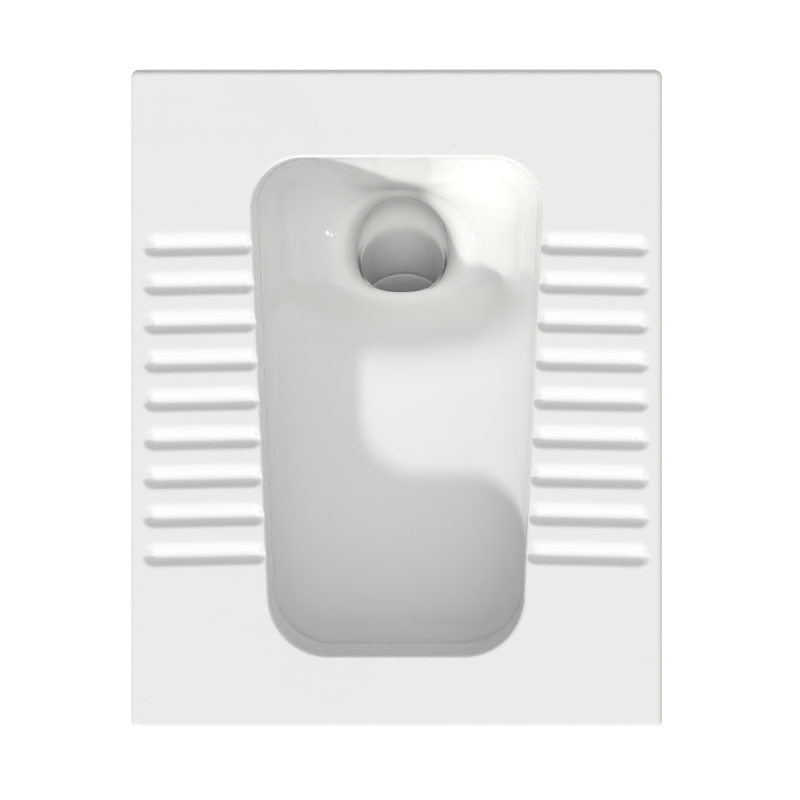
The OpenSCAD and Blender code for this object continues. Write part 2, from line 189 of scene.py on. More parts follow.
def lattice(steps: int, count: int, total: int) -> Array:
    """Quads between neighbouring rings.

    Args:
        steps: How many rings have quads to the next one, which after the last ring is the first.
        count: Points in a ring.
        total: How many rings there are.

    Returns:
        Vertex numbers, four for each quad.
    """
    r, c = np.meshgrid(np.arange(steps), np.arange(count), indexing="ij")
    corners = ((r, c), (r, c + 1), (r + 1, c + 1), (r + 1, c))
    return np.stack([(i % total) * count + j % count for i, j in corners], axis=-1).reshape(-1, 4)


def wrapped_grid(points: Array, bare: Array) -> Surface:
    """A grid of rings that closes on itself in both directions, like a ring torus.

    Args:
        points: Array of rings by points by three coordinates.
        bare: How unglazed each ring is, from 0 to 1.

    Returns:
        The closed surface.
    """
    total, count = points.shape[:2]
    return Surface(points.reshape(-1, 3), lattice(total, count, total), np.repeat(bare, count))


def capped_grid(points: Array, bare: Array) -> Surface:
    """A stack of closed rings whose first and last rings are shut with a fan round their middles.

    Args:
        points: Array of rings by points by three coordinates.
        bare: How unglazed each ring is, from 0 to 1.

    Returns:
        The closed surface.
    """
    total, count = points.shape[:2]
    here = np.arange(count)
    after = (here + 1) % count
    first, last = total * count, (total - 1) * count
    fans = np.vstack([
        np.stack([np.full(count, first), after, here], axis=-1),
        np.stack([np.full(count, first + 1), last + here, last + after], axis=-1),
    ])
    vertices = np.vstack([points.reshape(-1, 3), points[[0, -1]].mean(axis=1)])
    flags = np.append(np.repeat(bare, count), bare[[0, -1]])
    return Surface(vertices, lattice(total - 1, count, total), flags, fans)


# --- the bowl's surface -------------------------------------------------------------------------


@dataclass(frozen=True)
class Density:
    """How many points an outline has along each side, corner and end."""

    side: int
    corner: int
    end: int


@dataclass(frozen=True)
class Opening:
    """The bowl's opening in the deck: a trapezoid with round corners, wider at the outlet end."""

    wide_w: float = 282.0
    narrow_w: float = 241.0
    outlet_edge: float = 230.0
    wall_edge: float = 243.0
    outlet_r: float = 50.0
    wall_r: float = 60.0

    @property
    def slope(self) -> float:
        """How far each side moves outwards for each unit towards the outlet."""
        return (self.wide_w - self.narrow_w) / 2 / (self.outlet_edge + self.wall_edge)

    @property
    def half_w(self) -> float:
        """Half width at the deck's centre."""
        return self.wide_w / 2 - self.slope * self.outlet_edge

    def rings(self, grid: Density, side_in: Any, outlet_in: Any, end_in: Any, r1: Any, r0: Any) -> Array:
        """Outlines drawn in by separate amounts at the sides and at the two ends.

        Each side is the line x = half width + slope·y − inset, each end is level, and each corner is an arc
        that is tangent to both. The points run up the right side and round against the clock.

        Args:
            grid: Points on each stretch.
            side_in: Inset of the sides, one for each ring.
            outlet_in: Inset of the outlet end.
            end_in: Inset of the wall end.
            r1: Corner radius at the outlet end.
            r0: Corner radius at the wall end.

        Returns:
            Rings by points, as complex plan points.
        """
        side_in, outlet_in, end_in, r1, r0 = np.broadcast_arrays(
            *(column(v) for v in (side_in, outlet_in, end_in, r1, r0)))
        a = math.atan(self.slope)
        y1 = self.outlet_edge - outlet_in - r1
        y0 = r0 + end_in - self.wall_edge
        c1 = self.half_w + self.slope * y1 - side_in - r1 / math.cos(a) + 1j * y1
        c0 = self.half_w + self.slope * y0 - side_in - r0 / math.cos(a) + 1j * y0
        d1, d0 = -c1.conj(), -c0.conj()
        n = np.exp(-1j * a)
        m = -n.conjugate()
        return np.hstack([
            line(c0 + r0 * n, c1 + r1 * n, grid.side),
            arc(c1, r1, -a, QUARTER, grid.corner),
            line(c1 + 1j * r1, d1 + 1j * r1, grid.end),
            arc(d1, r1, QUARTER, 2 * QUARTER + a, grid.corner),
            line(d1 + r1 * m, d0 + r0 * m, grid.side),
            arc(d0, r0, 2 * QUARTER + a, 3 * QUARTER, grid.corner),
            line(d0 - 1j * r0, c0 - 1j * r0, grid.end),
            arc(c0, r0, 3 * QUARTER, 4 * QUARTER - a, grid.corner),
        ])

    def even(self, grid: Density, inset: Any) -> Array:
        """Outlines drawn in evenly, whose corner radii shrink by the inset."""
        return self.rings(grid, inset, inset, inset, self.outlet_r - inset, self.wall_r - inset)


@dataclass(frozen=True)
class Rim:
    """The shoulder, lip and flushing channel behind it: insets from the opening's edge, and depths."""

    shoulder_r: float = 3.0
    lip_h: float = 58.0
    wall_in: float = 3.5
    channel_in: float = -5.5
    channel_out: float = -20.5
    channel_top: float = 13.0
    rim_out: float = -30.5
    wall_top: float = 69.0
    seam_depth: float = 61.0
    lip_round: float = 1.6
    fillet: float = 3.0


@dataclass(frozen=True)
class Bend:
    """A turn of a ring about a hinge at y + i·depth, until the ring is a circle square to the horn.

    The reach is the distance from the hinge to the circle's middle.
    """

    hinge: complex
    reach: float
    radius: float
    tilt: float

    def rings(self, plan: Array, depth: Array, bearing: Array, share: Array) -> Rings:
        """The start ring on its way round: a soft blend to the circle, turned about the hinge by share·tilt.

        Args:
            plan: Plan points of the start ring.
            depth: Its depths.
            bearing: Unit directions of its points from the outlet's axis.
            share: 0 at the start and 1 square to the horn, one for each ring.

        Returns:
            Plan points and depths.
        """
        turn = column(share)
        f = smooth(0.0, 1.0, turn)
        x = plan.real * (1 - f) + self.radius * bearing.real * f
        circle = self.reach + self.radius * bearing.imag
        arm = (plan.imag + 1j * depth - self.hinge) * (1 - f) + circle * f
        place = self.hinge + arm * np.exp(1j * self.tilt * turn)
        return x + 1j * place.real, place.imag


@dataclass(frozen=True)
class Horn:
    """The outlet horn's axis, which leans down towards the wall end. Places are y + i·depth."""

    tilt: float = math.radians(45)
    start: complex = 118.113 + 207.113j
    inner_hinge: complex = 87 + 176j
    inner_reach: float = 44.0
    outer_hinge: complex = 54.716 + 172j
    outer_reach: float = 69.657
    bore_r: float = 42.0
    outer_r: float = 51.0
    length: float = 58.0
    ledge: float = 62.0
    body_start: float = 21.0
    end_round: float = 2.0

    @property
    def way(self) -> complex:
        """Unit direction down the horn."""
        return 1j * np.exp(1j * self.tilt)

    @property
    def inner_bend(self) -> Bend:
        """The bend of the passage."""
        return Bend(self.inner_hinge, self.inner_reach, self.bore_r, self.tilt)

    @property
    def outer_bend(self) -> Bend:
        """The bend of the china round the passage."""
        return Bend(self.outer_hinge, self.outer_reach, self.outer_r, self.tilt)

    def at(self, along: Array, out: Array | float = 0.0) -> Array:
        """Places at a distance down the axis, and out from it towards the outlet end."""
        return self.start + along * self.way + out * np.exp(1j * self.tilt)

    def rings(self, bearing: Array, outline: Array) -> Rings:
        """Circles about the axis, each round its own place on it.

        Args:
            bearing: Unit directions of the points from the outlet's axis.
            outline: Radii + i·distances down the axis, one for each ring.

        Returns:
            Plan points and depths.
        """
        radius = column(outline.real)
        place = self.at(column(outline.imag), radius * bearing.imag)
        return radius * bearing.real + 1j * place.real, place.imag

    def end(self, bore_rows: int) -> Array:
        """The bore, the rounded end and the outside up to the bend.

        Args:
            bore_rows: How many rings the bore has.

        Returns:
            Radii + i·distances down the axis.
        """
        r, low = self.end_round, self.length - self.end_round
        return profile(
            run(self.bore_r, 3, self.bore_r, low, bore_rows),
            rounding(self.bore_r + r, low, r, 2, 1, 4),
            rounding(self.outer_r - r, low, r, 1, 0, 4),
            run(self.outer_r, low, self.outer_r, self.body_start, 5),
        )


@dataclass(frozen=True)
class BasinForm:
    """The basin inside the lip: curved walls, falling tray, slope, sump, neck and outlet horn.

    Angles are in degrees. The slope ends at slope_foot. The neck's sizes in front of the mouth and elsewhere
    meet softly between the two angles.
    """

    opening: Opening = Opening()
    rim: Rim = Rim()
    horn: Horn = Horn()
    wall_t: float = 11.0
    tray_depth: float = 103.0
    tray_fall: float = 6.0
    fall_end: float = 65.0
    sump_depth: float = 166.0
    slope_foot: float = 94.0
    slope_run: float = 104.0
    slope_swell: float = 2.2
    brow_bow: float = 0.0015
    side_run: float = 58.0
    end_run: float = 34.0
    back_run: float = 32.0
    outlet_foot_r: float = 60.0
    wall_foot_r: float = 34.0
    outlet_y: float = 139.0
    mouth_w: float = 92.0
    mouth_l: float = 96.0
    front_angle: float = 25.0
    side_angle: float = 75.0
    front_run: float = 6.0
    neck_run: float = 26.0
    front_h: float = 3.0
    neck_h: float = 45.0
    back_drop: float = 40.0
    floor_draw: float = 1.5
    under_draw: float = 1.4
    root_rise: float = 3.0
    normal_step: float = 4.0

    def bearing(self, plan: Array) -> Array:
        """Unit direction from the outlet's axis to each plan point."""
        away = plan - 1j * self.outlet_y
        return away / np.abs(away)

    def behind(self, plan: Array) -> Array:
        """How far a point lies behind the outlet: the cube of its bearing's +Y part."""
        return np.maximum(0.0, self.bearing(plan).imag) ** 3

    def beside(self, plan: Array) -> Array:
        """How far a point lies off the outlet's front: 0 up to the front angle, 1 past the side angle."""
        off = np.degrees(np.arccos(np.clip(-self.bearing(plan).imag, -1, 1)))
        return smooth(self.front_angle, self.side_angle, off)

    def floor_depth(self, plan: Array) -> Array:
        """Depth of the floor: a slow fall along the tray, then a soft step down to the sump.

        The step follows y − bow·x², so that the brow bows round the outlet, and the power of its share makes
        it start slowly.
        """
        y = plan.imag - self.brow_bow * plan.real**2
        tray = self.tray_depth + self.tray_fall * smooth(-self.opening.wall_edge, self.fall_end, y)
        share = np.clip(1 + (y - self.slope_foot) / self.slope_run, 0, 1) ** self.slope_swell
        return tray + (self.sump_depth - tray) * smooth(0, 1, share)

    def wall(self, grid: Density, angle: Array) -> Rings:
        """The curved wall, upright at angle 0 and level with the floor at a quarter turn.

        Its plan moves in with 1 − cos(angle). Its depth follows sin(angle), and behind the outlet
        1 − cos(angle), so that there it stays steep down to the neck.

        Args:
            grid: Points round the outline.
            angle: Angles in radians, one for each ring.

        Returns:
            Plan points and depths.
        """
        s = 1.0 - np.cos(angle)
        o, start = self.opening, self.rim.wall_in
        plan = o.rings(
            grid, start + self.side_run * s, start + self.back_run * s, start + self.end_run * s,
            (o.outlet_r - start) * (1 - s) + self.outlet_foot_r * s,
            (o.wall_r - start) * (1 - s) + self.wall_foot_r * s)
        b = self.behind(plan)
        share = (1 - b) * np.sin(column(angle)) + b * column(s)
        foot = self.floor_depth(plan) + b * self.back_drop
        return plan, self.rim.wall_top + (foot - self.rim.wall_top) * share

    def mouth_r(self, plan: Array) -> Array:
        """Radius of the mouth: an ellipse behind the axis and a cubic superellipse in front of it.

        Args:
            plan: Plan points, of which only the bearing counts.

        Returns:
            The radius towards each point.
        """
        d = self.bearing(plan)
        n = np.where(d.imag > 0, 2.0, 3.0)
        across, along = np.abs(d.real) / (self.mouth_w / 2), np.abs(d.imag) / (self.mouth_l / 2)
        return (across**n + along**n) ** (-1 / n)

    def around_mouth(self, plan: Array, out: Array | float) -> Array:
        """Plan points at a distance outside the mouth, on the same bearings."""
        return 1j * self.outlet_y + self.bearing(plan) * (self.mouth_r(plan) + out)

    def necks(self, foot: Array) -> tuple[Array, Array, Array, Array]:
        """The neck's sizes, which are small in front of the mouth and full beside and behind it.

        Args:
            foot: Plan points at the wall's foot.

        Returns:
            For each point its reach to the mouth, the neck's run and drop, and how far the foot sinks.
        """
        reach = np.abs(foot - 1j * self.outlet_y) - self.mouth_r(foot)
        beside = self.beside(foot)
        neck_run = np.minimum(self.front_run + (self.neck_run - self.front_run) * beside, reach)
        drop = self.front_h + (self.neck_h - self.front_h) * beside
        return reach, neck_run, drop, self.behind(foot) * self.back_drop

    def floor(self, foot: Array, share: Array) -> Rings:
        """The floor from the wall's foot to the neck's edge, drawn towards the outlet with (1 − share)^draw.

        Args:
            foot: Plan points at the wall's foot.
            share: 0 at the foot and 1 at the neck, one for each ring.

        Returns:
            Plan points and depths.
        """
        reach, neck_run, _, sink = self.necks(foot)
        out = neck_run + (reach - neck_run) * (1 - column(share)) ** self.floor_draw
        plan = self.around_mouth(foot, out)
        return plan, self.floor_depth(plan) + sink

    def neck(self, foot: Array, angle: Array) -> Rings:
        """The neck: a quarter ellipse that turns down into the mouth as angle goes to a quarter turn.

        Args:
            foot: Plan points at the wall's foot.
            angle: Angles in radians, one for each ring.

        Returns:
            Plan points and depths.
        """
        _, neck_run, drop, sink = self.necks(foot)
        plan = self.around_mouth(foot, neck_run * (1 - np.sin(column(angle))))
        return plan, self.floor_depth(plan) + sink + (drop - sink) * (1 - np.cos(column(angle)))

    def root(self, foot: Array) -> Rings:
        """The ring under the mouth where the horn's outside starts to bend."""
        plan = self.around_mouth(foot, self.wall_t - self.root_rise)
        return plan, self.floor_depth(plan) + self.necks(foot)[3] + self.wall_t + self.root_rise

    def under_wall(self, grid: Density, angle: Array) -> Rings:
        """The wall's outside: each point of the wall moved one thickness along the surface's normal.

        The normal is the cross product of the wall's step down, by the normal step each way, and its step
        round.

        Args:
            grid: Points round the outline.
            angle: Angles in radians, one for each ring.

        Returns:
            Plan points and depths.
        """
        step = math.radians(self.normal_step)
        here = upright(*self.wall(grid, angle))
        upper = upright(*self.wall(grid, angle - step))
        lower = upright(*self.wall(grid, np.minimum(QUARTER, angle + step)))
        round_ = np.roll(here, -1, axis=1) - np.roll(here, 1, axis=1)
        normal = np.cross(lower - upper, round_)
        out = here + self.wall_t * normal / np.linalg.norm(normal, axis=-1, keepdims=True)
        return out[..., 0] + 1j * out[..., 1], FOOT_DEPTH - out[..., 2]

    def under_floor(self, grid: Density, foot: Array, share: Array) -> Rings:
        """The floor's underside, from the wall's foot in to the horn's root.

        It lies thickness·√(1 + slope²) below the floor, with the slope taken over a millimetre each way.

        Args:
            grid: Points round the outline.
            foot: Plan points at the wall's foot.
            share: 0 at the foot and 1 at the root, one for each ring.

        Returns:
            Plan points and depths.
        """
        under, _ = self.under_wall(grid, np.array([QUARTER]))
        t = 1 - (1 - column(share)) ** self.under_draw
        plan = under * (1 - t) + self.root(foot)[0] * t
        fall = self.floor_depth(plan + 1j) - self.floor_depth(plan - 1j)
        sink = self.necks(foot)[3]
        return plan, self.floor_depth(plan) + sink + self.wall_t * np.hypot(1, fall / 2)


@dataclass(frozen=True)
class Treads:
    """The recessed foot treads: grooves with round ends and a steeper side towards the wall end."""

    count: int = 9
    pitch: float = 36.3
    half_w: float = 12.25
    depth: float = 5.2
    end_x: float = 226.75
    slant: float = math.radians(1.2)
    gap: float = -5.0
    lean: float = 2.0
    steep: float = 1.6
    easy: float = 0.8

    def depth_at(self, plan: Array, opening: Opening) -> Array:
        """Depth of the grooves: depth·(1 + cos(π·d^p))/2 at d half widths from a groove's deepest line.

        That line lies off the middle by the lean and ends short of each round end. The power p is steep on
        the wall end's side of the line and easy on the other.

        Args:
            plan: Plan points on either side of the bowl.
            opening: The opening, whose sides the inner ends follow at the gap.

        Returns:
            Depth at each point, 0 between the grooves.
        """
        x, y = np.abs(plan.real), plan.imag
        most = self.count // 2
        row = np.clip(np.round(y / self.pitch), -most, most)
        best = np.zeros_like(x)
        for near in (row - 1, row, row + 1):
            local = (x - self.end_x + 1j * (y - near * self.pitch)) * np.exp(1j * self.slant)
            side = opening.half_w + opening.slope * near * self.pitch
            last = side + self.gap + self.half_w - self.end_x
            across = local.imag + self.lean
            across = across * self.half_w / (self.half_w + self.lean * np.sign(across))
            d = np.hypot(local.real - np.clip(local.real, last, 0), across) / self.half_w
            power = np.where(across < 0, self.steep, self.easy)
            cut = self.depth * (1 + np.cos(np.pi * np.minimum(d, 1) ** power)) / 2
            best = np.maximum(best, np.where(np.abs(near) <= most, cut, 0.0))
        return best


@dataclass
class PanDeck:
    """The pan's deck, treads, turned-down edge, shoulder, lip and flushing channel."""

    form: BasinForm = field(default_factory=BasinForm)
    treads: Treads = field(default_factory=Treads)
    half_w: float = 250.0
    half_l: float = 310.0
    deck_t: float = 12.0
    skirt_h: float = 28.0
    skirt_t: float = 12.0
    corner_r: float = 8.0
    edge_r: float = 6.0
    pocket_r: float = 6.0
    bottom_round: float = 1.5
    soft_edge: float = 1.5
    straight_share: float = 0.22
    close_shares: tuple[float, float] = (0.2, 0.75)
    deck_rows: tuple[int, int, int] = (16, 19, 21)
    glazed_rows: float = 16.0
    glaze_fade: float = 4.0
    grid: Density = Density(210, 36, 36)

    def perimeter(self, inset: Any, radius: Any) -> Array:
        """Outlines of the deck drawn in from its edge, whose points lie straight out from the opening's.

        Each side point keeps the y of the opening's side point and each end point its x. In a corner the
        points spread along both straights and, more closely, round the arc.

        Args:
            inset: Distance in from the deck's edge, one for each ring.
            radius: Corner radius, one for each ring.

        Returns:
            Rings by points, as complex plan points.
        """
        inset, radius = column(inset), column(radius)
        base = self.form.opening.even(self.grid, 0.0)[0]
        side, corner, end = self.grid.side, self.grid.corner, self.grid.end
        cuts = np.cumsum([side, corner, end, corner, side, corner, end])
        right, _, outlet, _, left, _, wall, _ = np.split(base, cuts)
        x, y = self.half_w - inset, self.half_l - inset
        part = self.straight_share

        def turn(start_y: float, end_x: float, share: Array) -> Array:
            """The outlet end's right corner: up the side, round the arc and in along the end.

            Args:
                start_y: Where the corner's points start on the side.
                end_x: Where they end on the end.
                share: 0 at the start and 1 at the end, one for each point.

            Returns:
                Rings by points, as complex plan points.
            """
            middle_x, middle_y = x - radius, y - radius
            up = x + 1j * (start_y + (middle_y - start_y) * np.clip(share / part, 0, 1))
            angle = QUARTER * np.clip((share - part) / (1 - 2 * part), 0, 1)
            bend = middle_x + 1j * middle_y + radius * np.exp(1j * angle)
            along = middle_x + (end_x - middle_x) * np.clip((share - 1 + part) / part, 0, 1) + 1j * y
            return np.where(share < part, up, np.where(share < 1 - part, bend, along))

        on = rows(corner) / corner
        top_y, top_x = base[side].imag, base[side + corner].real
        low_y, low_x = base[cuts[4]].imag, -base[cuts[5]].real
        return np.hstack([
            x + 1j * right.imag,
            turn(top_y, top_x, on),
            outlet.real + 1j * y,
            -turn(top_y, top_x, 1 - on).conj(),
            -x + 1j * left.imag,
            -turn(-low_y, low_x, on),
            wall.real - 1j * y,
            turn(-low_y, low_x, 1 - on).conj(),
        ])

    def rim_profile(self) -> Array:
        """The rim's section, from the channel's outer wall over its top, round the lip, over the shoulder.

        Returns:
            Insets from the opening's edge + i·depths.
        """
        rim = self.form.rim
        e, f, s, low = rim.lip_round, rim.fillet, rim.shoulder_r, rim.wall_in - 0.1
        out, inner, top, foot = rim.channel_out, rim.channel_in, rim.channel_top, rim.lip_h
        return profile(
            run(out, rim.seam_depth - 1, out, top + f, 3),
            rounding(out + f, top + f, f, 2, 3, 3),
            run(out + f, top, inner - f, top, 3),
            rounding(inner - f, top + f, f, 3, 4, 3),
            run(inner, top + f, inner, foot - e, 4),
            rounding(inner + e, foot - e, e, 2, 1, 4),
            run(inner + e, foot, low - e, foot, 3),
            rounding(low - e, foot - e, e, 1, 0, 5),
            run(low, foot - e, s, s, 8),
            rounding(0, s, s, 0, -1, 14),
        )

    def over(self) -> Rings:
        """The channel, lip, shoulder and deck with its treads, from the channel's seam to the deck's edge.

        The rows lie closer up to the first close share and past the second, where the treads end. The treads
        and the shoulder meet in a soft edge:
        max(a, b) + k/4·(1 − |a − b|/k)², with k up to the soft edge's size.

        Returns:
            Plan points and depths.
        """
        opening = self.form.opening
        rim = self.rim_profile()
        (first, last), (near, middle, far) = self.close_shares, self.deck_rows
        share = column(profile(
            line(0.0, first, near), line(first, last, middle), np.linspace(last, 1.0, far)))
        inner = opening.even(self.grid, 0.0)
        outer = self.perimeter(self.edge_r, self.corner_r - self.edge_r)
        plan = np.vstack([opening.even(self.grid, rim.real), inner * (1 - share) + outer * share])
        depth = column(np.append(rim.imag, np.zeros(len(share))))
        groove = self.treads.depth_at(plan, opening)
        k = np.minimum(self.soft_edge, np.minimum(groove, depth)) + 1e-9
        fill = k / 4 * np.maximum(0, 1 - np.abs(groove - depth) / k) ** 2
        merged = np.maximum(groove, depth) + fill
        return plan, np.where(depth < self.form.rim.shoulder_r + 0.01, merged, depth)

    def under(self) -> tuple[Array, Array, Array]:
        """The edge's rounding, the turned-down edge, the pocket under the deck and the rim's outside.

        Returns:
            Plan points, depths, and how unglazed each ring is.
        """
        rim, b, r, f = self.form.rim, self.bottom_round, self.edge_r, self.form.rim.fillet
        low, t, w, out = self.skirt_h, self.deck_t, self.skirt_t, self.form.rim.rim_out
        edge = profile(
            rounding(r, r, r, 3, 2, 9)[1:],
            run(0, r, 0, low - b, 5),
            rounding(b, low - b, b, 2, 1, 4),
            run(b, low, w - b, low, 3),
            rounding(w - b, low - b, b, 1, 0, 4),
            run(w, low - b, w, t + f, 3),
            rounding(w + f, t + f, f, 2, 3, 4),
        )
        radius = np.where(edge.real < r, self.corner_r - edge.real, self.corner_r - r)
        pocket = edge.real > w - b - 0.01
        radius = np.where(pocket, self.pocket_r - np.maximum(0, edge.real - w), radius)
        share = column(line(0.0, 1.0, 7))
        outer = self.perimeter(w + f, self.pocket_r - f)
        inner = self.form.opening.even(self.grid, out - f)
        wall = profile(
            rounding(out - f, t + f, f, 3, 4, 4),
            np.linspace(out + 1j * (t + f), out + 1j * rim.seam_depth, 4),
        )
        plan = np.vstack([
            self.perimeter(edge.real, radius),
            outer * (1 - share) + inner * share,
            self.form.opening.even(self.grid, wall.real),
        ])
        depth = np.concatenate([edge.imag, np.full(len(share), t), wall.imag])
        glazed = self.glazed_rows
        return plan, column(depth), smooth(glazed, glazed + self.glaze_fade, rows(len(depth)))

    def build(self, china: Material) -> None:
        """Makes the deck as one surface that closes on itself through the channel.

        Args:
            china: The glazed china.
        """
        top, (plan, depth, bare) = self.over(), self.under()
        points = np.vstack([upright(*top), upright(plan, depth)])
        flags = np.append(np.zeros(len(top[0])), bare)
        wrapped_grid(points, flags).settle("pan_deck", china, "pan")


@dataclass
class PanBasin:
    """The pan's basin and outlet horn, inside and out, up to the floor of the flushing channel."""

    form: BasinForm = field(default_factory=BasinForm)
    grid: Density = Density(86, 38, 30)
    shelf: tuple[complex, ...] = (12 + 7j, 5 + 1j, 1.3 - 4j)
    shelf_start: float = 12.0
    wall_rows: int = 40
    floor_rows: int = 56
    neck_rows: int = 22
    bend_rows: int = 26
    bore_rows: int = 6
    outer_rows: int = 18
    under_rows: int = 14
    under_share: float = 0.9
    under_angles: tuple[float, float] = (87.0, 28.0)
    glaze_fade: int = 3
    channel_rows: int = 9
    channel_fade: int = 2

    def outside(self) -> Array:
        """The outside above the bowl: out along the shelf, up to the seam, and in to the lip.

        Returns:
            Insets from the opening's edge + i·depths.
        """
        rim = self.form.rim
        out, top = rim.rim_out, rim.wall_top
        return profile(
            rim.wall_in - self.form.wall_t - rim.fillet + 1j * (top + self.shelf_start),
            out + 1j * top + np.array(self.shelf),
            out + 1j * rim.seam_depth,
            run(rim.channel_out, rim.seam_depth - 1, rim.wall_in, top, 7),
        )

    def build(self, china: Material) -> None:
        """Makes the basin as one surface: down its inside, round the horn's end and up its underside.

        Args:
            china: The glazed china.
        """
        form, grid, horn = self.form, self.grid, self.form.horn
        foot = form.wall(grid, np.array([QUARTER]))[0]
        toward = form.bearing(foot)
        mouth = form.neck(foot, np.array([QUARTER]))
        outside = self.outside()
        inside = [
            form.wall(grid, line(0.0, QUARTER, self.wall_rows)),
            form.floor(foot, line(0.0, 1.0, self.floor_rows)),
            form.neck(foot, line(0.0, QUARTER, self.neck_rows)),
            horn.inner_bend.rings(*mouth, toward, np.linspace(0.0, 1.0, self.bend_rows)),
        ]
        parts = inside + [
            horn.rings(toward, horn.end(self.bore_rows)),
            horn.outer_bend.rings(*form.root(foot), toward, np.linspace(1.0, 0.0, self.outer_rows)),
            form.under_floor(grid, foot, np.linspace(self.under_share, 0.0, self.under_rows)),
            form.under_wall(grid, np.radians(np.linspace(*self.under_angles, self.under_rows))),
            (form.opening.even(grid, outside.real), column(outside.imag)),
        ]
        points = np.vstack([upright(*p) for p in parts])
        glazed = sum(len(plan) for plan, _ in inside) + self.bore_rows
        row, channel = rows(len(points)), len(points) - self.channel_rows
        in_channel = smooth(channel, channel + self.channel_fade, row)
        bare = smooth(glazed, glazed + self.glaze_fade, row) * (1 - in_channel)
        wrapped_grid(points, bare).settle("pan_basin", china, "pan")


@dataclass
class PanInlet:
    """The pan's flushing inlet: a plain stub that the rubber connector pushes over."""

    axis_depth: float = 51.0
    root_y: float = -244.5
    end_y: float = -293.0
    bore_y: float = -250.0
    radius: float = 31.0
    bore_r: float = 22.0
    outer_round: float = 3.0
    inner_round: float = 2.5
    around: int = 96

    def build(self, china: Material) -> None:
        """Makes the stub as a turned profile of radius against distance from its root.

        Args:
            china: The glazed china.
        """
        r, bore, e, f = self.radius, self.bore_r, self.outer_round, self.inner_round
        long, start = self.root_y - self.end_y, self.root_y - self.bore_y
        outline = profile(
            run(r, 0, r, long - e, 12),
            rounding(r - e, long - e, e, 0, 1, 6),
            rounding(bore + f, long - f, f, 1, 2, 6),
            np.linspace(bore + 1j * (long - f), bore + 1j * start, 8),
        )
        ring = column(outline.real) * np.exp(2j * np.pi * rows(self.around) / self.around)
        along = np.broadcast_to(self.root_y - column(outline.imag), ring.shape)
        points = np.stack([ring.real, along, FOOT_DEPTH - self.axis_depth + ring.imag], axis=-1)
        capped_grid(points, np.zeros(len(outline))).settle("pan_inlet", china, "pan")


# --- the trap -----------------------------------------------------------------------------------


